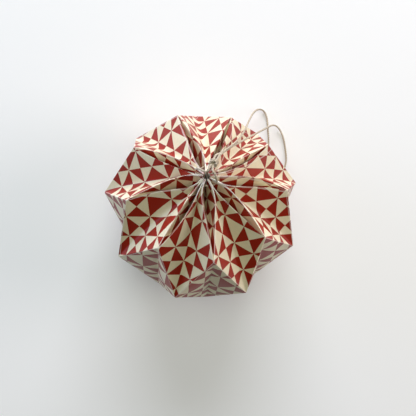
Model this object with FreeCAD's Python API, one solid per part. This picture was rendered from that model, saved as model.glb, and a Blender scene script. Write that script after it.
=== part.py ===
import FreeCAD, Part
import math
import os

# A ball folded from one printed sheet: nine lobes with a deep groove between each two.
# Millimetres and degrees. The ball is made on its own upright axis, then laid down
# the way it comes to rest, on one tip and two corners of its lower half.

# The flat sheet and its creases
LOBES = 9
SHEET_THICKNESS = 0.27
HALF_SECTOR = 16.5
SHOULDER_CREASE = 26.1

# The folded upper half, as rings round the axis
OUTER_RING_RADIUS = 47.0
SHOULDER_RING_RADIUS = 35.4
TIP_RING_RADIUS = 1.6
TIP_HEIGHT = 37.6
VALLEY_FOOT_RADIUS = 2.45
TIP_WIDTH = 0.6
FIRST_SHOULDER_ANGLE = 6.1

# The lower half, pushed a little towards its front as the ball leans back
LOWER_SHOULDER_RING_RADIUS = 36.2
LOWER_SHOULDER_SHIFT = 3.8
LOWER_TIP_RING_RADIUS = 2.2
LOWER_TIP_DEPTH = 37.5
LOWER_TIP_SHIFT = 2.5
LOWER_VALLEY_FOOT_RADIUS = 4.6
FRONT_ANGLE = FIRST_SHOULDER_ANGLE + 280.0

# The middle band, whose facets bow out beside its valleys, and the grooves
BAND_BULGE = 1.0
BULGE_SHARE = 0.72
GROOVE_SPREAD = 1.4
RIDGE_STEPS = 5

# Hand folding: how far each upper shoulder stands off its even place, along and across the ring
SHOULDER_DRIFT = (1.2, 0.3, -1.8, -1.8, -0.9, -0.3, 0.5, 0.1, 0.8)
SHOULDER_REACH = (0.2, -1.0, -0.3, 0.3, 0.8, 0.1, 0.3, 0.0, -0.6)

# The cord that gathers the upper tips, its punched holes, and its knot
CORD_RADIUS = 0.5
HOLE_CLEARANCE = 0.3
GATHER_RING_RADIUS = 4.5
GATHER_DROP = 4.4
KNOT_RADIUS = 2.1
KNOT_LENGTH = 5.2
KNOT_WRAPS = 3
KNOT_REACH = 3.75
KNOT_RISE = 2.0
KNOT_ANGLE = 72.8
KNOT_TURN = 6.0
STRAND_GAP = 0.35
LEAD_SEAT = 0.2
ARC_SHARE = 0.45
SAME_POINT = 1e-6

# Where the gathering cord's two ends rise from the ring: groove, and the way to the knot,
# from the middle of the upper tips
LEFT_LEAD_GROOVE = 4
LEFT_LEAD_ROUTE = ((-5.3, 1.3, -1.2), (-4.6, 0.3, 1.0), (-2.9, -0.8, 2.0), (-0.6, -1.3, 2.7))
RIGHT_LEAD_GROOVE = 8
RIGHT_LEAD_ROUTE = ((4.3, -2.9, -1.2), (3.6, -2.6, 0.8), (2.9, -1.6, 2.6))

# The loop that the ball hangs by: up from the knot, over one lobe, down to the ground and
# back under the ball. Both ends are in the knot.
LOOP_ROUTE = (
    (-0.6, 25.0, 63.6),
    (3.0, 28.2, 58.5),
    (8.0, 33.6, 49.3),
    (11.2, 39.5, 40.5),
    (13.3, 44.9, 31.0),
    (16.2, 50.2, 17.5),
    (18.6, 53.6, 9.4),
    (21.3, 55.8, 3.6),
    (24.6, 56.0, 0.8),
    (27.2, 53.0, 0.6),
    (28.8, 47.8, 0.6),
    (30.8, 42.1, 0.6),
    (32.0, 35.2, 0.6),
    (33.6, 28.6, 0.6),
    (38.0, 24.6, 0.6),
    (42.6, 26.6, 0.6),
    (43.4, 32.4, 0.6),
    (41.1, 39.0, 0.6),
    (38.2, 45.2, 0.8),
    (34.2, 49.4, 1.4),
    (30.0, 49.3, 6.0),
    (25.6, 45.9, 15.5),
    (19.0, 40.8, 29.3),
    (11.2, 34.8, 44.6),
    (5.6, 30.2, 54.2),
    (1.2, 26.2, 61.0),
)

# Lobe number, and the two grooves beside it, that the ball rests on
REST_LOBE = 2

HOLE_RADIUS = CORD_RADIUS + HOLE_CLEARANCE
SECTOR = 360.0 / LOBES
EDGE_LENGTH = math.hypot(HALF_SECTOR, SHOULDER_CREASE)
UP = FreeCAD.Vector(0, 0, 1)


def polar(radius, angle, height):
    turn = math.radians(angle)
    return FreeCAD.Vector(radius * math.cos(turn), radius * math.sin(turn), height)


def groove_angle(groove):
    return FIRST_SHOULDER_ANGLE + SECTOR * groove


def lobe_angle(lobe):
    return groove_angle(lobe) + SECTOR / 2


def outer_corner(lobe):
    return polar(OUTER_RING_RADIUS, lobe_angle(lobe), 0)


def level_distance(a, b):
    return math.hypot(a.x - b.x, a.y - b.y)


# A shoulder's height follows from its crease to the outer corners beside it
def shoulder(half, groove):
    angle = groove_angle(groove)
    if half > 0:
        reach = SHOULDER_REACH[groove % LOBES]
        drift = SHOULDER_DRIFT[groove % LOBES]
        place = polar(SHOULDER_RING_RADIUS + reach, angle, 0) + polar(drift, angle + 90, 0)
    else:
        place = polar(LOWER_SHOULDER_RING_RADIUS, angle, 0)
        place = place + polar(LOWER_SHOULDER_SHIFT, FRONT_ANGLE, 0)
    left = level_distance(place, outer_corner(groove - 1))
    right = level_distance(place, outer_corner(groove))
    level = (left + right) / 2
    place.z = half * math.sqrt(EDGE_LENGTH ** 2 - level ** 2)
    return place


def pole(half):
    if half > 0:
        return FreeCAD.Vector(0, 0, TIP_HEIGHT)
    return polar(LOWER_TIP_SHIFT, FRONT_ANGLE, -LOWER_TIP_DEPTH)


def tip_radius(half):
    return TIP_RING_RADIUS if half > 0 else LOWER_TIP_RING_RADIUS


# A lobe's blunt tip: side -1 and 1 are its two corners, 0 is the end of its middle crease
def tip(half, lobe, side):
    middle = pole(half) + polar(tip_radius(half), lobe_angle(lobe), 0)
    return middle + polar(side * TIP_WIDTH / 2, lobe_angle(lobe) + 90, 0)


def valley_foot(half, groove):
    radius = VALLEY_FOOT_RADIUS if half > 0 else LOWER_VALLEY_FOOT_RADIUS
    foot = pole(half) + polar(radius, groove_angle(groove), 0)
    level = level_distance(foot, tip(half, groove, -1))
    foot.z = foot.z - half * math.sqrt(HALF_SECTOR ** 2 - level ** 2)
    return foot


def between(a, b, share):
    return a + (b - a) * share


def band_valley(groove):
    return between(shoulder(1, groove), shoulder(-1, groove), 0.5)


# The highest point of a band facet, between the valley and the outer corner
def band_bulge(groove, side):
    corner = outer_corner(groove if side > 0 else groove - 1)
    level = between(corner, band_valley(groove), BULGE_SHARE)
    return level + band_normal(groove, side) * BAND_BULGE


# From 0 at both ends to 1 in the middle
def arch(share):
    return 4 * share * (1 - share)


# The ridge on one side of a groove opens in a lens shape between its two ends
def ridge(half, groove, side):
    lobe = groove if side > 0 else groove - 1
    start = shoulder(half, groove)
    end = tip(half, lobe, -side)
    away = polar(side, groove_angle(groove) + 90, 0)
    points = []
    for step in range(RIDGE_STEPS + 1):
        share = step / RIDGE_STEPS
        points.append(between(start, end, share) + away * (GROOVE_SPREAD * arch(share)))
    return points


def crease(half, lobe):
    start = outer_corner(lobe)
    end = tip(half, lobe, 0)
    return [between(start, end, step / RIDGE_STEPS) for step in range(RIDGE_STEPS + 1)]


def valley(half, groove):
    start = shoulder(half, groove)
    end = valley_foot(half, groove)
    return [between(start, end, step / RIDGE_STEPS) for step in range(RIDGE_STEPS + 1)]


def unit_normal(a, b, c, outside):
    normal = (b - a).cross(c - a).normalize()
    return normal if normal.dot(outside) > 0 else normal * -1


# The way from a corner of the printed side to the same corner of the plain side
def through_two(first, second):
    return (first + second) * (-SHEET_THICKNESS / (1 + first.dot(second)))


def through_three(first, second, third):
    volume = first.dot(second.cross(third))
    total = second.cross(third) + third.cross(first) + first.cross(second)
    return total * (-SHEET_THICKNESS / volume)


def wall_normal(half, groove, side):
    wall = ridge(half, groove, side)
    middle = RIDGE_STEPS // 2
    away = polar(-side, groove_angle(groove) + 90, 0)
    return unit_normal(wall[middle], wall[middle + 1], valley(half, groove)[middle], away)


def face_normal(half, lobe, side):
    groove = lobe if side < 0 else lobe + 1
    edge = ridge(half, groove, -side)
    return unit_normal(crease(half, lobe)[0], edge[1], crease(half, lobe)[-1], UP * half)


def band_normal(groove, side):
    corner = outer_corner(groove if side > 0 else groove - 1)
    return unit_normal(corner, shoulder(1, groove), shoulder(-1, groove), corner)


# Triangles between two rows of points, leaving out the ones that have no width
def strip(first, second):
    triangles = []
    for step in range(len(first) - 1):
        a, b = first[step], first[step + 1]
        c, d = second[step], second[step + 1]
        if not a.isEqual(c, SAME_POINT):
            triangles.append((a, c, d))
        if not b.isEqual(d, SAME_POINT):
            triangles.append((a, d, b))
    return triangles


def fan(row, top):
    return [(a, b, top) for a, b in zip(row, row[1:])]


# The plain side of one ridge, crease and valley, in step with the printed side
def inner_ridge(half, groove, side):
    lobe = groove if side > 0 else groove - 1
    face = face_normal(half, lobe, -side)
    wall = wall_normal(half, groove, side)
    offset = through_two(face, wall)
    points = [point + offset for point in ridge(half, groove, side)]
    points[0] = inner_shoulder(half, groove, side)
    return points


def inner_shoulder(half, groove, side):
    lobe = groove if side > 0 else groove - 1
    face = face_normal(half, lobe, -side)
    wall = wall_normal(half, groove, side)
    band = band_normal(groove, side)
    return shoulder(half, groove) + through_three(face, wall, band)


def inner_crease(half, lobe):
    offset = through_two(face_normal(half, lobe, -1), face_normal(half, lobe, 1))
    points = [point + offset for point in crease(half, lobe)]
    points[0] = inner_corner(lobe)
    return points


def inner_corner(lobe):
    above = (face_normal(1, lobe, -1) + face_normal(1, lobe, 1)).normalize()
    below = (face_normal(-1, lobe, -1) + face_normal(-1, lobe, 1)).normalize()
    return outer_corner(lobe) + through_two(above, below)


def inner_valley(half, groove, side):
    offset = through_two(wall_normal(half, groove, side), UP * half)
    points = [point + offset for point in valley(half, groove)]
    points[0] = inner_shoulder(half, groove, side)
    return points


def inner_band_valley(groove):
    return band_valley(groove) + through_two(band_normal(groove, -1), band_normal(groove, 1))


# A lobe's two faces and the groove walls beside them, on both sides of the paper
def lobe_triangles(half, lobe):
    triangles = []
    for side, groove in ((-1, lobe), (1, lobe + 1)):
        outside = ridge(half, groove, -side)
        inside = inner_ridge(half, groove, -side)
        triangles += strip(outside, crease(half, lobe))
        triangles += strip(inside, inner_crease(half, lobe))
        triangles += strip(outside, valley(half, groove))
        triangles += strip(inside, inner_valley(half, groove, -side))
        end_row = [crease(half, lobe)[-1], outside[-1], valley(half, groove)[-1]]
        plain_row = [inner_crease(half, lobe)[-1], inside[-1]]
        plain_row.append(inner_valley(half, groove, -side)[-1])
        triangles += strip(end_row, plain_row)
    return triangles


# The rounded foot of a groove, as the strip of plain paper under its valley
def groove_foot_triangles(half, groove):
    left = inner_valley(half, groove, -1)
    right = inner_valley(half, groove, 1)
    triangles = strip(left, right)
    triangles.append((left[-1], right[-1], valley_foot(half, groove)))
    triangles.append((left[0], right[0], inner_band_valley(groove)))
    return triangles


def band_triangles(groove):
    triangles = []
    for side, lobe in ((-1, groove - 1), (1, groove)):
        bulge = band_bulge(groove, side)
        inner_bulge = bulge - band_normal(groove, side) * SHEET_THICKNESS
        for half in (1, -1):
            printed = [outer_corner(lobe), shoulder(half, groove), band_valley(groove)]
            plain = [inner_corner(lobe), inner_shoulder(half, groove, side)]
            plain.append(inner_band_valley(groove))
            triangles += fan(printed, bulge)
            triangles += fan(plain, inner_bulge)
    return triangles


def make_folded_sheet():
    triangles = []
    for number in range(LOBES):
        triangles += band_triangles(number)
        for half in (1, -1):
            triangles += lobe_triangles(half, number)
            triangles += groove_foot_triangles(half, number)
    faces = [Part.Face(Part.makePolygon(list(corners) + [corners[0]])) for corners in triangles]
    skin = Part.makeCompound(faces)
    skin.sewShape()
    sheet = Part.makeSolid(Part.Shell(skin.Faces))
    if sheet.Volume < 0:
        sheet.reverse()
    return sheet.cut(gather_ring(HOLE_RADIUS))


# The ring that the cord makes inside the lobes, through one hole in each groove wall
def gather_ring(radius):
    place = FreeCAD.Vector(0, 0, TIP_HEIGHT - GATHER_DROP)
    return Part.makeTorus(GATHER_RING_RADIUS, radius, place, UP)


# A round cord along straight runs with the largest tangent arc at each turn
def cord_along(points, radius, name):
    edges = []
    radii = []
    here = points[0]
    for before, corner, after in zip(points, points[1:], points[2:]):
        arriving = (corner - before).normalize()
        leaving = (after - corner).normalize()
        turn = arriving.getAngle(leaving)
        shorter = min(before.distanceToPoint(corner), corner.distanceToPoint(after))
        cut = ARC_SHARE * shorter
        bend = cut / math.tan(turn / 2)
        start = corner - arriving * cut
        end = corner + leaving * cut
        inward = (leaving - arriving).normalize()
        depth = bend / math.cos(turn / 2) - bend
        edges.append(Part.LineSegment(here, start).toShape())
        edges.append(Part.Arc(start, corner + inward * depth, end).toShape())
        radii.append(bend)
        here = end
    edges.append(Part.LineSegment(here, points[-1]).toShape())
    path = Part.Wire(edges)
    direction = (points[1] - points[0]).normalize()
    profile = Part.Wire(Part.makeCircle(radius, points[0], direction))
    cord = path.makePipeShell([profile], True, False)
    expected = math.pi * radius ** 2 * path.Length
    print(name, "length %.1f" % path.Length, "bends", ["%.1f" % bend for bend in radii],
          "volume share %.3f" % (cord.Volume / expected))
    return cord


# Points beside the knot's axis: side -1 or 1, end -1 for the ring's end, 1 for the loop's
def knot_exit(side, end, out):
    direction = knot_direction()
    across = direction.cross(UP).normalize() * (side * (CORD_RADIUS + STRAND_GAP / 2))
    return knot_middle() + direction * (end * (KNOT_LENGTH / 2 + out)) + across


def lead(groove, route, side):
    start_height = TIP_HEIGHT - GATHER_DROP + LEAD_SEAT
    points = [polar(GATHER_RING_RADIUS, groove_angle(groove), start_height)]
    points += [pole(1) + FreeCAD.Vector(*place) for place in route]
    points += [knot_exit(side, -1, KNOT_LENGTH / 4), knot_exit(side, -1, 0)]
    return cord_along(points, CORD_RADIUS, "lead from groove %d" % groove)


def make_gather_cord():
    left = lead(LEFT_LEAD_GROOVE, LEFT_LEAD_ROUTE, -1)
    right = lead(RIGHT_LEAD_GROOVE, RIGHT_LEAD_ROUTE, 1)
    return gather_ring(CORD_RADIUS).fuse(left).fuse(right)


def make_hanging_loop(placement):
    points = [placement.multVec(knot_exit(-1, 1, out)) for out in (0, KNOT_LENGTH / 2)]
    points += [FreeCAD.Vector(*place) for place in LOOP_ROUTE]
    points += [placement.multVec(knot_exit(1, 1, out)) for out in (KNOT_LENGTH / 2, 0)]
    return cord_along(points, CORD_RADIUS, "hanging loop")


def knot_middle():
    return polar(KNOT_REACH, KNOT_ANGLE, TIP_HEIGHT + KNOT_RISE)


# The knot points outward over its lobe, falling with the ridges
def knot_direction():
    slope = (TIP_HEIGHT - shoulder(1, 1).z) / SHOULDER_RING_RADIUS
    return polar(1, KNOT_ANGLE + KNOT_TURN, -slope).normalize()


# Three wraps of cord side by side, turned as one round bead
def make_knot():
    step = KNOT_LENGTH / KNOT_WRAPS
    bulge = step / 4
    waist = KNOT_RADIUS - bulge
    across = FreeCAD.Vector(1, 0, 0)
    edges = []
    low = FreeCAD.Vector(0, 0, -KNOT_LENGTH / 2)
    edges.append(Part.LineSegment(low, low + across * waist).toShape())
    for wrap in range(KNOT_WRAPS):
        start = low + across * waist + UP * (wrap * step)
        middle = start + across * bulge + UP * (step / 2)
        end = start + UP * step
        edges.append(Part.Arc(start, middle, end).toShape())
    high = low + UP * KNOT_LENGTH
    edges.append(Part.LineSegment(high + across * waist, high).toShape())
    edges.append(Part.LineSegment(high, low).toShape())
    half_section = Part.Face(Part.Wire(edges))
    knot = half_section.revolve(FreeCAD.Vector(0, 0, 0), UP, 360)
    turn = FreeCAD.Rotation(UP, knot_direction())
    knot.Placement = FreeCAD.Placement(knot_middle(), turn)
    return knot


# Turned so that the rest tip and its two corners lie level, and moved over the origin
def resting_placement(ball):
    foot = tip(-1, REST_LOBE, 0)
    first = shoulder(-1, REST_LOBE)
    second = shoulder(-1, REST_LOBE + 1)
    down = unit_normal(foot, first, second, UP * -1)
    turn = FreeCAD.Rotation(down, UP * -1)
    turned = ball.copy()
    turned.Placement = FreeCAD.Placement(FreeCAD.Vector(0, 0, 0), turn)
    box = turned.optimalBoundingBox(False)
    shift = FreeCAD.Vector(-box.Center.x, -box.Center.y, -box.ZMin)
    return FreeCAD.Placement(shift, turn)


def laid_down(shape, placement):
    placed = shape.copy()
    placed.Placement = placement.multiply(placed.Placement)
    return placed


# Each fold's length in space against its length in the flat sheet
def report_fold_lengths():
    flat_ridge = math.hypot(HALF_SECTOR, 2 * HALF_SECTOR)
    for half in (1, -1):
        ridges = []
        edges = []
        creases = []
        for number in range(LOBES):
            points = ridge(half, number, 1)
            ridges.append(sum(a.distanceToPoint(b) for a, b in zip(points, points[1:])))
            edges.append(shoulder(half, number).distanceToPoint(outer_corner(number)))
            creases.append(outer_corner(number).distanceToPoint(tip(half, number, 0)))
        print("half", half, "ridges %.1f to %.1f" % (min(ridges), max(ridges)),
              "flat about %.1f" % flat_ridge,
              "edges %.1f to %.1f" % (min(edges), max(edges)), "flat %.1f" % EDGE_LENGTH,
              "creases %.1f to %.1f" % (min(creases), max(creases)))


os.makedirs("parts", exist_ok=True)
upright_sheet = make_folded_sheet()
placement = resting_placement(upright_sheet)
nodes = {
    "folded_sheet": laid_down(upright_sheet, placement),
    "top_gather_cord": laid_down(make_gather_cord(), placement),
    "top_knot": laid_down(make_knot(), placement),
    "hanging_loop": make_hanging_loop(placement),
}
for name, shape in nodes.items():
    print(name, "valid", shape.isValid(), "solids", len(shape.Solids), "volume %.1f" % shape.Volume)
    shape.exportStep("parts/" + name + ".step")
report_fold_lengths()
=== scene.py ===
import math

import bpy
import numpy as np
from mathutils import Matrix, Vector, noise


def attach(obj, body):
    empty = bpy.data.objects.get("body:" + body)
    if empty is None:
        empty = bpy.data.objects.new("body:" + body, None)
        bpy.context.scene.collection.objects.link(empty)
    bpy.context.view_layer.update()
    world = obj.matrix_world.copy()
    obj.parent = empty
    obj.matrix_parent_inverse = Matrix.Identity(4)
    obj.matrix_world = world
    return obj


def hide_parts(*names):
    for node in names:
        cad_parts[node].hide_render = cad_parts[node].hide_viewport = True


# A ball folded from one printed sheet, with its gathering cord, knot and hanging loop.
# The ball is worked out in millimetres on its own upright axis, then laid down and
# turned into metres. A place in the flat sheet is millimetres across and up from the
# middle of a sector.

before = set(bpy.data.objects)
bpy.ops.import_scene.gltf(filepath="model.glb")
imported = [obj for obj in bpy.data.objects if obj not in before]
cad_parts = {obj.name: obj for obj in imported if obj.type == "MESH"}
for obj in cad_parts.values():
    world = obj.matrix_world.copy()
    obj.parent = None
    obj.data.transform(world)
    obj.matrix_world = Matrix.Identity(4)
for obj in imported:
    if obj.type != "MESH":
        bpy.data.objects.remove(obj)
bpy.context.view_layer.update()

METRES = 0.001

# The flat sheet and its print
LOBES = 9
SHEET_THICKNESS = 0.27
HALF_SECTOR = 16.5
SHOULDER_CREASE = 26.1
HALF_SHEET = SHOULDER_CREASE + 2 * HALF_SECTOR + 0.3
PRINT_CELL = 7.2
PRINT_START = 26.95
SEAM_GROOVE = 3

# Hand folding: how far each crease and each groove lies from its even place on the sheet, set
# where the print fits the photograph
CREASE_SHIFT = (1.4, 4.3, 2.9, -0.6, 0.6, -0.9, 0.0, -0.4, 0.2)
GROOVE_SHIFT = (0.9, 3.6, 3.6, 2.9, 0.4, 0.2, 0.2, 0.0, -0.4)

# The folded ball
OUTER_RING_RADIUS = 47.0
SHOULDER_RING_RADIUS = 35.4
TIP_RING_RADIUS = 1.6
TIP_HEIGHT = 37.6
VALLEY_FOOT_RADIUS = 2.45
TIP_WIDTH = 0.6
FIRST_SHOULDER_ANGLE = 6.1
LOWER_SHOULDER_RING_RADIUS = 36.2
LOWER_SHOULDER_SHIFT = 3.8
LOWER_TIP_RING_RADIUS = 2.2
LOWER_TIP_DEPTH = 37.5
LOWER_TIP_SHIFT = 2.5
LOWER_VALLEY_FOOT_RADIUS = 4.6
FRONT_ANGLE = FIRST_SHOULDER_ANGLE + 280.0
BAND_BULGE = 1.0
BULGE_SHARE = 0.72
GROOVE_SPREAD = 1.4
# How far each upper shoulder stands off its even place, across and along the ring's radius
SHOULDER_DRIFT = (1.2, 0.3, -1.8, -1.8, -0.9, -0.3, 0.5, 0.1, 0.8)
SHOULDER_REACH = (0.2, -1.0, -0.3, 0.3, 0.8, 0.1, 0.3, 0.0, -0.6)
REST_LOBE = 2

# How the paper gives: the upper tips lean as one, and beside each upper groove the two
# ridges bow off its middle, halfway along and again close to the tip. The bows come from a fit
# to points read along the ridges in the photograph.
POLE_LEAN = Vector((-0.65, -1.9, 0))
GROOVE_BOWS = (
    ((-0.4, 2.2), (1.2, -1.0)),
    ((1.2, 0.6), (-1.6, -1.0)),
    ((0.0, 0.6), (-0.8, 0.6)),
    ((0.0, 1.0), (-0.4, 1.0)),
    ((0.0, 0.2), (0.4, 0.6)),
    ((0.4, 1.0), (-1.2, 2.6)),
    ((-0.4, -0.2), (0.8, -0.6)),
    ((0.0, 1.8), (-0.4, 1.4)),
    ((0.0, 1.0), (0.4, 1.0)),
)
VALLEY_WIDTH = 0.34
PAPER_WAVE = 0.35
WAVE_LENGTH = 14.0
FOLD_ROUNDING = 3
ROUNDING_STEP = 0.5

# The cords
CORD_RADIUS = 0.5
GATHER_RING_RADIUS = 4.5
GATHER_DROP = 4.4
KNOT_LENGTH = 5.2
KNOT_REACH = 3.75
KNOT_RISE = 2.0
KNOT_ANGLE = 72.8
KNOT_TURN = 6.0
STRAND_GAP = 0.35
KNOT_WRAPS = 2.5
WRAP_REACH = 1.5
WRAP_SPAN = 2.2
WRAP_POINTS = 10
WRAP_WOBBLE = 0.12
WRAP_LEAN = 0.35
KNOT_CORD_RADIUS = 1.1 * CORD_RADIUS
LEFT_LEAD_GROOVE = 4
LEFT_LEAD_ROUTE = ((-5.3, 1.3, -1.2), (-4.6, 0.3, 1.0), (-2.9, -0.8, 2.0), (-0.6, -1.3, 2.7))
RIGHT_LEAD_GROOVE = 8
RIGHT_LEAD_ROUTE = ((4.3, -2.9, -1.2), (3.6, -2.6, 0.8), (2.9, -1.6, 2.6))
LOOP_ROUTE = (
    (-0.0006, 0.0250, 0.0636),
    (0.0030, 0.0282, 0.0585),
    (0.0080, 0.0336, 0.0493),
    (0.0112, 0.0395, 0.0405),
    (0.0133, 0.0449, 0.0310),
    (0.0162, 0.0502, 0.0175),
    (0.0186, 0.0536, 0.0094),
    (0.0213, 0.0558, 0.0036),
    (0.0246, 0.0560, 0.0008),
    (0.0272, 0.0530, 0.0006),
    (0.0288, 0.0478, 0.0006),
    (0.0308, 0.0421, 0.0006),
    (0.0320, 0.0352, 0.0006),
    (0.0336, 0.0286, 0.0006),
    (0.0380, 0.0246, 0.0006),
    (0.0426, 0.0266, 0.0006),
    (0.0434, 0.0324, 0.0006),
    (0.0411, 0.0390, 0.0006),
    (0.0382, 0.0452, 0.0008),
    (0.0342, 0.0494, 0.0014),
    (0.0300, 0.0493, 0.0060),
    (0.0256, 0.0459, 0.0155),
    (0.0190, 0.0408, 0.0293),
    (0.0112, 0.0348, 0.0446),
    (0.0056, 0.0302, 0.0542),
    (0.0012, 0.0262, 0.0610),
)
STRANDS = 3
STRAND_RADIUS = 0.27
TWIST_LENGTH = 3.4

# The photograph's camera, in the ball's own frame, from the print on the upper facets
VIEW_TILT = 0.352
VIEW_ROLL = -0.211
PICTURE_WIDTH = 416
BALL_CENTRE_PIXEL = (203.04, 203.44)
FOCAL_PIXELS = 554.3
PIXEL_SIZE = 0.4771
SENSOR_WIDTH = 36.0

SECTOR = 360.0 / LOBES
EDGE_LENGTH = math.hypot(HALF_SECTOR, SHOULDER_CREASE)
UP = Vector((0, 0, 1))


def polar(radius, angle, height):
    turn = math.radians(angle)
    return Vector((radius * math.cos(turn), radius * math.sin(turn), height))


def groove_angle(groove):
    return FIRST_SHOULDER_ANGLE + SECTOR * groove


def lobe_angle(lobe):
    return groove_angle(lobe) + SECTOR / 2


def outer_corner(lobe):
    return polar(OUTER_RING_RADIUS, lobe_angle(lobe), 0)


def level_distance(a, b):
    return math.hypot(a.x - b.x, a.y - b.y)


def shoulder(half, groove):
    angle = groove_angle(groove)
    if half > 0:
        reach = SHOULDER_REACH[groove % LOBES]
        drift = SHOULDER_DRIFT[groove % LOBES]
        place = polar(SHOULDER_RING_RADIUS + reach, angle, 0) + polar(drift, angle + 90, 0)
    else:
        place = polar(LOWER_SHOULDER_RING_RADIUS, angle, 0)
        place = place + polar(LOWER_SHOULDER_SHIFT, FRONT_ANGLE, 0)
    left = level_distance(place, outer_corner(groove - 1))
    right = level_distance(place, outer_corner(groove))
    level = (left + right) / 2
    place.z = half * math.sqrt(EDGE_LENGTH ** 2 - level ** 2)
    return place


def pole(half):
    if half > 0:
        return Vector((0, 0, TIP_HEIGHT))
    return polar(LOWER_TIP_SHIFT, FRONT_ANGLE, -LOWER_TIP_DEPTH)


def tip(half, lobe, side):
    radius = TIP_RING_RADIUS if half > 0 else LOWER_TIP_RING_RADIUS
    middle = pole(half) + polar(radius, lobe_angle(lobe), 0)
    return middle + polar(side * TIP_WIDTH / 2, lobe_angle(lobe) + 90, 0)


def valley_foot(half, groove):
    radius = VALLEY_FOOT_RADIUS if half > 0 else LOWER_VALLEY_FOOT_RADIUS
    foot = pole(half) + polar(radius, groove_angle(groove), 0)
    level = level_distance(foot, tip(half, groove, -1))
    foot.z = foot.z - half * math.sqrt(HALF_SECTOR ** 2 - level ** 2)
    return foot


def between(a, b, share):
    return a + (b - a) * share


def arch(share):
    return 4 * share * (1 - share)


def ridge(half, groove, side, share):
    start = shoulder(half, groove)
    end = tip(half, groove if side > 0 else groove - 1, -side)
    away = polar(side, groove_angle(groove) + 90, 0)
    return between(start, end, share) + away * (GROOVE_SPREAD * arch(share))


def unit_normal(a, b, c, outside):
    normal = (b - a).cross(c - a).normalized()
    return normal if normal.dot(outside) > 0 else -normal


# The ball as it lies: turned so that one lower tip and the corners beside it are level
def resting_turn():
    foot = tip(-1, REST_LOBE, 0)
    down = unit_normal(foot, shoulder(-1, REST_LOBE), shoulder(-1, REST_LOBE + 1), -UP)
    return down.rotation_difference(-UP)


def resting_base(turn):
    places = []
    for number in range(LOBES):
        places.append(turn @ outer_corner(number))
        for half in (1, -1):
            places.append(turn @ shoulder(half, number))
            places.append(turn @ tip(half, number, 1))
            places.append(turn @ tip(half, number, -1))
            places += [turn @ ridge(half, number, side, 0.2) for side in (-1, 1)]
    low = Vector([min(place[axis] for place in places) for axis in range(3)])
    high = Vector([max(place[axis] for place in places) for axis in range(3)])
    return Vector((-(low.x + high.x) / 2, -(low.y + high.y) / 2, -low.z))


resting = resting_turn()
base = resting_base(resting)


def laid_down(place):
    return (resting @ place + base) * METRES


# Camera, cords, paper, then light


def view_axes():
    cos_roll, sin_roll = math.cos(VIEW_ROLL), math.sin(VIEW_ROLL)
    cos_tilt, sin_tilt = math.cos(VIEW_TILT), math.sin(VIEW_TILT)
    right = Vector((cos_roll, -sin_roll * cos_tilt, -sin_roll * sin_tilt))
    upward = Vector((sin_roll, cos_roll * cos_tilt, cos_roll * sin_tilt))
    back = Vector((0, -sin_tilt, cos_tilt))
    return right, upward, back


def add_camera():
    right, upward, back = view_axes()
    middle = PICTURE_WIDTH / 2
    place = right * (middle - BALL_CENTRE_PIXEL[0]) + upward * (BALL_CENTRE_PIXEL[1] - middle)
    place = (place + back * FOCAL_PIXELS) * PIXEL_SIZE
    axes = [resting @ axis for axis in (right, upward, back)]
    data = bpy.data.cameras.new("camera")
    data.sensor_fit = "HORIZONTAL"
    data.sensor_width = SENSOR_WIDTH
    data.lens = SENSOR_WIDTH * FOCAL_PIXELS / PICTURE_WIDTH
    data.clip_start = 0.01
    camera = bpy.data.objects.new("camera", data)
    turn = Matrix(axes).transposed().to_4x4()
    camera.matrix_world = Matrix.Translation(laid_down(place)) @ turn
    bpy.context.scene.collection.objects.link(camera)
    bpy.context.scene.camera = camera
    return axes


picture_right, picture_up, picture_back = add_camera()


def knot_direction():
    slope = (TIP_HEIGHT - shoulder(1, 1).z) / SHOULDER_RING_RADIUS
    return polar(1, KNOT_ANGLE + KNOT_TURN, -slope).normalized()


def knot_middle():
    return polar(KNOT_REACH, KNOT_ANGLE, TIP_HEIGHT + KNOT_RISE)


def knot_exit(side, end, out):
    direction = knot_direction()
    across = direction.cross(UP).normalized() * (side * (CORD_RADIUS + STRAND_GAP / 2))
    return knot_middle() + direction * (end * (KNOT_LENGTH / 2 + out)) + across


# The smooth line through a route's points, as Blender draws its spline
def smooth_line(route, closed=False):
    curve = bpy.data.curves.new("route", "CURVE")
    curve.dimensions = "3D"
    curve.resolution_u = 24
    spline = curve.splines.new("NURBS")
    spline.points.add(len(route) - 1)
    for point, place in zip(spline.points, route):
        point.co = (*place, 1)
    spline.order_u = 3
    spline.use_cyclic_u = closed
    spline.use_endpoint_u = not closed
    holder = bpy.data.objects.new("route", curve)
    line = bpy.data.meshes.new_from_object(holder)
    places = [vertex.co.copy() for vertex in line.vertices]
    bpy.data.objects.remove(holder)
    bpy.data.meshes.remove(line)
    bpy.data.curves.remove(curve)
    return places + places[:1] if closed else places


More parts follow.
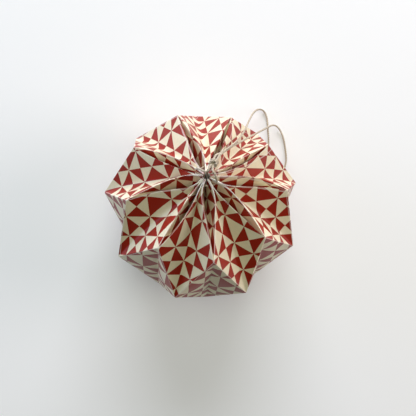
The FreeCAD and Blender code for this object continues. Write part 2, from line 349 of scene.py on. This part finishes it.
# Twisted strands along a line, in metres
def add_strands(lines, name, radius=CORD_RADIUS, sides=8):
    vertices = []
    faces = []
    strand = STRAND_RADIUS * radius / CORD_RADIUS * METRES
    helix = radius * METRES - strand
    for line in lines:
        along = (line[1] - line[0]).normalized()
        across = along.orthogonal().normalized()
        travelled = 0.0
        rings = []
        for number, place in enumerate(line):
            ahead = line[min(number + 1, len(line) - 1)]
            behind = line[max(number - 1, 0)]
            along = (ahead - behind).normalized()
            across = (across - along * across.dot(along)).normalized()
            other = along.cross(across)
            if number:
                travelled += (place - line[number - 1]).length
            turn = math.tau * travelled / (TWIST_LENGTH * METRES)
            rings.append((place, across.copy(), other, turn))
        for strand_number in range(STRANDS):
            first = len(vertices)
            offset = math.tau * strand_number / STRANDS
            for place, side_way, up_way, turn in rings:
                angle = turn + offset
                outward = side_way * math.cos(angle) + up_way * math.sin(angle)
                sideways = up_way * math.cos(angle) - side_way * math.sin(angle)
                middle = place + outward * helix
                for corner in range(sides):
                    spin = math.tau * corner / sides
                    reach = outward * math.cos(spin) + sideways * math.sin(spin)
                    vertices.append(middle + reach * strand)
            for ring in range(len(rings) - 1):
                for corner in range(sides):
                    beside = (corner + 1) % sides
                    low = first + ring * sides
                    high = low + sides
                    faces.append((low + corner, low + beside, high + beside, high + corner))
            last = first + (len(rings) - 1) * sides
            faces.append(tuple(first + corner for corner in reversed(range(sides))))
            faces.append(tuple(last + corner for corner in range(sides)))
    mesh = bpy.data.meshes.new(name)
    mesh.from_pydata(vertices, [], faces)
    mesh.shade_smooth()
    piece = bpy.data.objects.new(name, mesh)
    bpy.context.scene.collection.objects.link(piece)
    return piece


def cotton_material():
    material = bpy.data.materials.new("cotton")
    material.use_nodes = True
    nodes, links = material.node_tree.nodes, material.node_tree.links
    shader = nodes["Principled BSDF"]
    shader.inputs["Roughness"].default_value = 0.85
    shader.inputs["Specular IOR Level"].default_value = 0.25
    shader.inputs["Sheen Weight"].default_value = 0.3
    place = nodes.new("ShaderNodeTexCoord")
    fibre = nodes.new("ShaderNodeTexNoise")
    fibre.inputs["Scale"].default_value = 2500
    fibre.inputs["Detail"].default_value = 3
    links.new(place.outputs["Object"], fibre.inputs["Vector"])
    tone = nodes.new("ShaderNodeValToRGB")
    tone.color_ramp.elements[0].position = 0.3
    tone.color_ramp.elements[0].color = (0.34, 0.26, 0.17, 1)
    tone.color_ramp.elements[1].position = 0.7
    tone.color_ramp.elements[1].color = (0.66, 0.58, 0.46, 1)
    links.new(fibre.outputs["Fac"], tone.inputs["Fac"])
    links.new(tone.outputs["Color"], shader.inputs["Base Color"])
    bump = nodes.new("ShaderNodeBump")
    bump.inputs["Strength"].default_value = 0.4
    bump.inputs["Distance"].default_value = 0.00005
    links.new(fibre.outputs["Fac"], bump.inputs["Height"])
    links.new(bump.outputs["Normal"], shader.inputs["Normal"])
    return material


cotton = cotton_material()


def loop_line():
    route = [laid_down(knot_exit(-1, 1, out)) for out in (0, KNOT_LENGTH / 2)]
    route += [Vector(place) for place in LOOP_ROUTE]
    route += [laid_down(knot_exit(1, 1, out)) for out in (KNOT_LENGTH / 2, 0)]
    return smooth_line(route)


def lead_line(groove, route, side):
    points = [polar(GATHER_RING_RADIUS, groove_angle(groove), TIP_HEIGHT - GATHER_DROP)]
    points += [pole(1) + Vector(place) for place in route]
    points += [knot_exit(side, -1, KNOT_LENGTH / 4), knot_exit(side, -1, 0)]
    return smooth_line([laid_down(place) for place in points])


def ring_line():
    height = TIP_HEIGHT - GATHER_DROP
    places = [polar(GATHER_RING_RADIUS, angle * SECTOR / 2, height) for angle in range(2 * LOBES)]
    return smooth_line([laid_down(place) for place in places], closed=True)


loop_points = loop_line()
loop = add_strands([loop_points], "hanging_loop_cord")
gather_lines = [
    lead_line(LEFT_LEAD_GROOVE, LEFT_LEAD_ROUTE, -1),
    lead_line(RIGHT_LEAD_GROOVE, RIGHT_LEAD_ROUTE, 1),
    ring_line(),
]
gather = add_strands(gather_lines, "gather_cord")


# The knot: the doubled cord wrapped round itself, a little unevenly
def knot_line():
    direction = knot_direction()
    across = direction.orthogonal().normalized()
    other = direction.cross(across)
    middle = knot_middle()
    count = int(WRAP_POINTS * KNOT_WRAPS)
    places = []
    for number in range(count + 1):
        share = number / count
        turn = math.tau * KNOT_WRAPS * share
        reach = WRAP_REACH + WRAP_WOBBLE * math.sin(2.3 * turn + 0.7)
        lean = WRAP_LEAN * math.sin(turn + 0.9)
        height = (share - 0.5) * WRAP_SPAN + lean
        around = across * math.cos(turn) + other * math.sin(turn)
        places.append(middle + around * reach + direction * height)
    return smooth_line([laid_down(place) for place in places])


def knot_core(side):
    places = [knot_exit(side, -1, 0), knot_middle(), knot_exit(side, 1, 0)]
    return smooth_line([laid_down(place) for place in places])


knot = add_strands([knot_line(), knot_core(-1), knot_core(1)], "knot_cord", KNOT_CORD_RADIUS)

for piece, node in ((loop, "hanging_loop"), (gather, "top_gather_cord"), (knot, "top_knot")):
    piece.data.materials.append(cotton)
    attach(piece, "root")
    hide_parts(node)


# The folded sheet: rows of points between its creases, closer together beside each fold
LENGTH_STEPS = 26
FACE_STEPS = 14
WALL_STEPS = 10
BAND_STEPS = 18


def shares(steps):
    return [(1 - math.cos(math.pi * step / steps)) / 2 for step in range(steps + 1)]


places = []
place_numbers = {}
polygons = []
polygon_flats = []


def number_of(place):
    key = tuple(round(value, 3) for value in place)
    if key not in place_numbers:
        place_numbers[key] = len(places)
        places.append(place)
    return place_numbers[key]


def wave(place, strength):
    return noise.noise(place / WAVE_LENGTH) * PAPER_WAVE * 2 * strength


# Faces over a patch: patch(row share, column share) gives a place and its flat place
def add_patch(patch, row_shares, column_shares, outside):
    grid = [[patch(row, column) for column in column_shares] for row in row_shares]
    middle_row, middle_column = len(row_shares) // 2, len(column_shares) // 2
    a = grid[middle_row][middle_column][0]
    b = grid[middle_row + 1][middle_column][0]
    c = grid[middle_row][middle_column + 1][0]
    facing = (b - a).cross(c - a).dot(outside) > 0
    for row in range(len(row_shares) - 1):
        for column in range(len(column_shares) - 1):
            corners = [grid[row][column], grid[row + 1][column],
                       grid[row + 1][column + 1], grid[row][column + 1]]
            if not facing:
                corners.reverse()
            numbers = []
            flats = []
            for place, flat in corners:
                number = number_of(place)
                if number not in numbers:
                    numbers.append(number)
                    flats.append(flat)
            if len(numbers) > 2:
                polygons.append(numbers)
                polygon_flats.append(flats)


def flat_place(lobe, x, y):
    sector = (lobe - SEAM_GROOVE) % LOBES - 1
    groove = lobe % LOBES if x < 0 else (lobe + 1) % LOBES
    groove_shift = GROOVE_SHIFT[groove]
    if groove == SEAM_GROOVE and x < 0:
        groove_shift = CREASE_SHIFT[lobe % LOBES]
    shift = between(CREASE_SHIFT[lobe % LOBES], groove_shift, abs(x) / HALF_SECTOR)
    return ((2 * HALF_SECTOR * sector + x + shift) / PRINT_CELL, y / PRINT_CELL)


# How far hand folding takes a ridge off its even line, at a share of its length
def ridge_bow(half, groove, side, share):
    if half < 0:
        return Vector()
    middle, late = GROOVE_BOWS[groove % LOBES][0 if side < 0 else 1]
    late_arch = share ** 4 * (1 - share) / (0.8 ** 4 * 0.2)
    away = polar(side, groove_angle(groove) + 90, 0)
    return away * (middle * arch(share) + late * late_arch)


def pole_lean(half, share):
    return POLE_LEAN * share ** 3 if half > 0 else Vector()


def bowed_ridge(half, groove, side, share):
    bow = ridge_bow(half, groove, side, share) + pole_lean(half, share)
    return ridge(half, groove, side, share) + bow


# A valley bows with the two ridges on its sides
def lobe_valley(half, lobe, share):
    bow = ridge_bow(half, lobe, 1, share) + ridge_bow(half, lobe + 1, -1, share)
    place = between(outer_corner(lobe), tip(half, lobe, 0), share)
    return place + bow / 2 + pole_lean(half, share)


def groove_valley(half, groove, share):
    bow = ridge_bow(half, groove, -1, share) + ridge_bow(half, groove, 1, share)
    place = between(shoulder(half, groove), valley_foot(half, groove), share)
    return place + bow / 2 + pole_lean(half, share)


# The paper bends softly at the bottom of a lobe's valley, instead of creasing
def valley_lift(half, lobe, row, column):
    inside = (1 - column) / VALLEY_WIDTH
    if inside >= 1:
        return Vector()
    left = bowed_ridge(half, lobe, 1, row)
    right = bowed_ridge(half, lobe + 1, -1, row)
    depth = (left + right) / 2 - lobe_valley(half, lobe, row)
    along = (tip(half, lobe, 0) - outer_corner(lobe)).normalized()
    depth = depth - along * depth.dot(along)
    from_edge = 1 - (1 - row) ** 6
    return depth * (from_edge * VALLEY_WIDTH / 2 * (1 - inside) ** 2)


def add_lobe(half, lobe):
    for side, groove in ((-1, lobe), (1, lobe + 1)):
        start, end = outer_corner(lobe), tip(half, lobe, 0)
        low = shoulder(half, groove)
        tip_flat = (side * TIP_WIDTH / 2, half * HALF_SHEET)
        shoulder_flat = (side * HALF_SECTOR, half * SHOULDER_CREASE)
        face_out = unit_normal(start, low, end, UP * half)
        wall_out = polar(side, groove_angle(groove) + 90, 0)

        def face(row, column):
            edge = bowed_ridge(half, groove, -side, row)
            place = between(edge, lobe_valley(half, lobe, row), column)
            place = place + valley_lift(half, lobe, row, column)
            strength = arch(column) * math.sqrt(max(arch(row), 0))
            x = (shoulder_flat[0] * (1 - row) + tip_flat[0] * row) * (1 - column)
            edge_y = shoulder_flat[1] * (1 - row) + tip_flat[1] * row
            y = edge_y * (1 - column) + half * HALF_SHEET * row * column
            return place + face_out * wave(place, strength), flat_place(lobe, x, y)

        def wall(row, column):
            edge = bowed_ridge(half, groove, -side, row)
            place = between(edge, groove_valley(half, groove, row), column)
            strength = arch(column) * arch(row)
            edge_x = shoulder_flat[0] * (1 - row) + tip_flat[0] * row
            x = edge_x * (1 - column) + side * HALF_SECTOR * column
            y = shoulder_flat[1] * (1 - row) + tip_flat[1] * row
            return place + wall_out * wave(place, strength), flat_place(lobe, x, y)

        add_patch(face, shares(LENGTH_STEPS), shares(FACE_STEPS), face_out)
        add_patch(wall, shares(LENGTH_STEPS), shares(WALL_STEPS), wall_out)


def add_band(groove):
    for side, lobe in ((-1, groove - 1), (1, groove)):
        corner = outer_corner(lobe)
        high, low = shoulder(1, groove), shoulder(-1, groove)
        outward = unit_normal(corner, high, low, corner)
        bulge_power = math.log(0.5) / math.log(BULGE_SHARE)

        def band(row, column):
            upper = between(high, corner, column)
            lower = between(low, corner, column)
            place = between(upper, lower, row)
            bow = math.sin(math.pi * (1 - column) ** bulge_power) * math.sin(math.pi * row)
            strength = arch(column) * arch(row)
            place = place + outward * (BAND_BULGE * bow + wave(place, strength))
            x = -side * HALF_SECTOR * (1 - column)
            y = SHOULDER_CREASE * (1 - column) * (1 - 2 * row)
            return place, flat_place(lobe, x, y)

        add_patch(band, shares(BAND_STEPS), shares(FACE_STEPS), outward)


for number in range(LOBES):
    add_band(number)
    for half in (1, -1):
        add_lobe(half, number)


# Rounds the folds: each point moves towards its neighbours, the nearest ones counting most
def rounded_folds():
    here = np.array(places)
    uses = {}
    for corners in polygons:
        for a, b in zip(corners, corners[1:] + corners[:1]):
            pair = (min(a, b), max(a, b))
            uses[pair] = uses.get(pair, 0) + 1
    ends = np.array(sorted(uses))
    free = np.ones(len(here), bool)
    for pair, count in uses.items():
        if count == 1:
            free[list(pair)] = False
    for _ in range(FOLD_ROUNDING):
        way = here[ends[:, 1]] - here[ends[:, 0]]
        pull = 1 / np.linalg.norm(way, axis=1)
        total = np.zeros(len(here))
        moved = np.zeros_like(here)
        np.add.at(total, ends[:, 0], pull)
        np.add.at(total, ends[:, 1], pull)
        np.add.at(moved, ends[:, 0], way * pull[:, None])
        np.add.at(moved, ends[:, 1], -way * pull[:, None])
        step = ROUNDING_STEP * moved / total[:, None]
        here[free] += step[free]
    return here


def add_paper():
    rounded = rounded_folds()
    vertices = [laid_down(Vector(place)) for place in rounded]
    mesh = bpy.data.meshes.new("folded_paper")
    mesh.from_pydata(vertices, [], polygons)
    flat_map = mesh.uv_layers.new(name="flat_sheet")
    number = 0
    for flats in polygon_flats:
        for flat in flats:
            flat_map.data[number].uv = flat
            number += 1
    mesh.shade_smooth()
    paper = bpy.data.objects.new("folded_paper", mesh)
    bpy.context.scene.collection.objects.link(paper)
    thickness = paper.modifiers.new("sheet thickness", "SOLIDIFY")
    thickness.thickness = SHEET_THICKNESS * METRES
    thickness.offset = -1
    thickness.material_offset = 1
    thickness.material_offset_rim = 1
    return paper


class Steps:
    """Adds shader nodes one after another, each taking numbers or earlier outputs."""

    def __init__(self, material):
        material.use_nodes = True
        self.nodes = material.node_tree.nodes
        self.links = material.node_tree.links
        self.shader = self.nodes["Principled BSDF"]

    def put(self, socket, value):
        if isinstance(value, (int, float, tuple)):
            socket.default_value = value
        else:
            self.links.new(value, socket)

    def math(self, operation, first, second=0.0, clamp=False):
        node = self.nodes.new("ShaderNodeMath")
        node.operation = operation
        node.use_clamp = clamp
        self.put(node.inputs[0], first)
        self.put(node.inputs[1], second)
        return node.outputs[0]

    def mix(self, share, first, second):
        node = self.nodes.new("ShaderNodeMix")
        node.data_type = "RGBA"
        self.put(node.inputs["Factor"], share)
        self.put(node.inputs["A"], first)
        self.put(node.inputs["B"], second)
        return node.outputs["Result"]

    def noise(self, place, scale, detail):
        node = self.nodes.new("ShaderNodeTexNoise")
        node.inputs["Scale"].default_value = scale
        node.inputs["Detail"].default_value = detail
        self.links.new(place, node.inputs["Vector"])
        return node.outputs["Fac"]


CREAM_INK = (0.76, 0.68, 0.48, 1)
RED_INK = (0.30, 0.014, 0.003, 1)
WORN_INK = (0.86, 0.80, 0.72, 1)
PLAIN_PAPER = (0.82, 0.80, 0.74, 1)
RIDGE_WEAR_WIDTH = 0.75
EDGE_WEAR_WIDTH = 0.35
WEAR_STRENGTH = 0.45
LEAST_TONE = 0.92
TONE_RANGE = 0.16


def printed_paper():
    material = bpy.data.materials.new("printed_paper")
    steps = Steps(material)
    flat = steps.nodes.new("ShaderNodeUVMap")
    flat.uv_map = "flat_sheet"
    split = steps.nodes.new("ShaderNodeSeparateXYZ")
    steps.links.new(flat.outputs["UV"], split.inputs[0])
    across, height = split.outputs["X"], split.outputs["Y"]
    up = steps.math("SUBTRACT", height, PRINT_START / PRINT_CELL)

    # Each cell is cut by one diagonal, turned in every other cell, and the two colours
    # change places in every second band of four rows
    a = steps.math("PINGPONG", across, 1.0)
    b = steps.math("PINGPONG", up, 1.0)
    over = steps.math("GREATER_THAN", a, b)
    column = steps.math("FLOOR", across)
    row = steps.math("FLOOR", up)
    cell = steps.math("FLOORED_MODULO", steps.math("ADD", column, row), 2.0)
    shifted = steps.math("DIVIDE", steps.math("ADD", up, 3.0), 4.0)
    band = steps.math("FLOORED_MODULO", steps.math("FLOOR", shifted), 2.0)
    turned = steps.math("ADD", steps.math("ADD", over, cell), band)
    red = steps.math("FLOORED_MODULO", turned, 2.0)

    place = steps.nodes.new("ShaderNodeTexCoord").outputs["Object"]
    speck = steps.noise(place, 900, 4)
    tone = steps.math("MULTIPLY_ADD", speck, TONE_RANGE)
    tone.node.inputs[2].default_value = LEAST_TONE
    colour = steps.mix(red, CREAM_INK, RED_INK)

    # The ink is worn along the ridges and along the zigzag edges
    inside = steps.math("PINGPONG", steps.math("MULTIPLY", across, PRINT_CELL), HALF_SECTOR)
    rise = steps.math("MULTIPLY", steps.math("ABSOLUTE", height), PRINT_CELL)
    ridge_run = HALF_SECTOR - TIP_WIDTH / 2
    ridge_rise = HALF_SHEET - SHOULDER_CREASE
    ridge_long = math.hypot(ridge_run, ridge_rise)
    from_side = steps.math("MULTIPLY", steps.math("SUBTRACT", inside, HALF_SECTOR),
                           ridge_rise / ridge_long)
    from_low = steps.math("MULTIPLY", steps.math("SUBTRACT", rise, SHOULDER_CREASE),
                          ridge_run / ridge_long)
    to_ridge = steps.math("ABSOLUTE", steps.math("ADD", from_side, from_low))
    above = steps.math("GREATER_THAN", rise, SHOULDER_CREASE - 0.5)
    edge_side = steps.math("MULTIPLY", inside, SHOULDER_CREASE / EDGE_LENGTH)
    edge_low = steps.math("MULTIPLY", rise, HALF_SECTOR / EDGE_LENGTH)
    to_edge = steps.math("ABSOLUTE", steps.math("SUBTRACT", edge_side, edge_low))
    below = steps.math("LESS_THAN", rise, SHOULDER_CREASE + 0.5)
    patchy = steps.noise(place, 350, 5)
    width = steps.math("MULTIPLY", patchy, RIDGE_WEAR_WIDTH)
    ridge_worn = steps.math("MULTIPLY", above, steps.math("LESS_THAN", to_ridge, width))
    thin = steps.math("MULTIPLY", patchy, EDGE_WEAR_WIDTH)
    edge_worn = steps.math("MULTIPLY", below, steps.math("LESS_THAN", to_edge, thin))
    worn = steps.math("MAXIMUM", ridge_worn, edge_worn)
    share = steps.math("MULTIPLY", worn, WEAR_STRENGTH)
    colour = steps.mix(share, colour, WORN_INK)
    shade = steps.nodes.new("ShaderNodeVectorMath")
    shade.operation = "SCALE"
    steps.links.new(colour, shade.inputs[0])
    steps.links.new(tone, shade.inputs["Scale"])
    steps.put(steps.shader.inputs["Base Color"], shade.outputs[0])
    steps.shader.inputs["Roughness"].default_value = 0.42
    steps.shader.inputs["Specular IOR Level"].default_value = 0.35
    bump = steps.nodes.new("ShaderNodeBump")
    bump.inputs["Strength"].default_value = 0.12
    bump.inputs["Distance"].default_value = 0.00004
    steps.links.new(speck, bump.inputs["Height"])
    steps.links.new(bump.outputs["Normal"], steps.shader.inputs["Normal"])
    return material


def plain_paper():
    material = bpy.data.materials.new("plain_paper")
    steps = Steps(material)
    steps.shader.inputs["Base Color"].default_value = PLAIN_PAPER
    steps.shader.inputs["Roughness"].default_value = 0.8
    return material


paper = add_paper()
paper.data.materials.append(printed_paper())
paper.data.materials.append(plain_paper())
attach(paper, "root")
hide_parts("folded_sheet")


# Light: a low window beyond the top of the picture, the ceiling and a wall on each side
def add_floor():
    mesh = bpy.data.meshes.new("floor")
    half = 3.0
    mesh.from_pydata([(-half, -half, 0), (half, -half, 0), (half, half, 0), (-half, half, 0)],
                     [], [(0, 1, 2, 3)])
    floor = bpy.data.objects.new("floor", mesh)
    bpy.context.scene.collection.objects.link(floor)
    material = bpy.data.materials.new("floor")
    material.use_nodes = True
    shader = material.node_tree.nodes["Principled BSDF"]
    shader.inputs["Base Color"].default_value = (0.92, 0.92, 0.92, 1)
    shader.inputs["Roughness"].default_value = 0.9
    mesh.materials.append(material)


def add_light(name, way, distance, size, watts, colour):
    data = bpy.data.lights.new(name, "AREA")
    data.shape = "SQUARE"
    data.size = size
    data.energy = watts
    data.color = colour
    light = bpy.data.objects.new(name, data)
    way = way.normalized()
    light.location = laid_down(Vector((0, 0, 0))) + way * distance
    light.rotation_euler = way.to_track_quat("Z", "Y").to_euler()
    bpy.context.scene.collection.objects.link(light)


add_floor()
add_light("low window", picture_up * 0.92 + picture_back * 0.38 + picture_right * 0.05,
          1.2, 0.9, 22.0, (0.89, 0.91, 1.0))
add_light("ceiling", picture_back * 1.0 + picture_up * 0.1,
          1.2, 1.0, 5.9, (0.94, 1.0, 0.79))
add_light("right wall", picture_right * 1.0 + picture_back * 0.35 + picture_up * 0.1,
          0.9, 0.5, 3.8, (1.0, 0.88, 0.90))
add_light("left wall", picture_up * 0.3 + picture_back * 0.3 - picture_right * 1.0,
          0.9, 0.5, 3.5, (0.52, 0.63, 1.0))
world = bpy.data.worlds.new("world")
world.use_nodes = True
world.node_tree.nodes["Background"].inputs["Color"].default_value = (1.0, 1.0, 1.0, 1)
world.node_tree.nodes["Background"].inputs["Strength"].default_value = 0.01
bpy.context.scene.world = world
bpy.context.scene.view_settings.view_transform = "Standard"
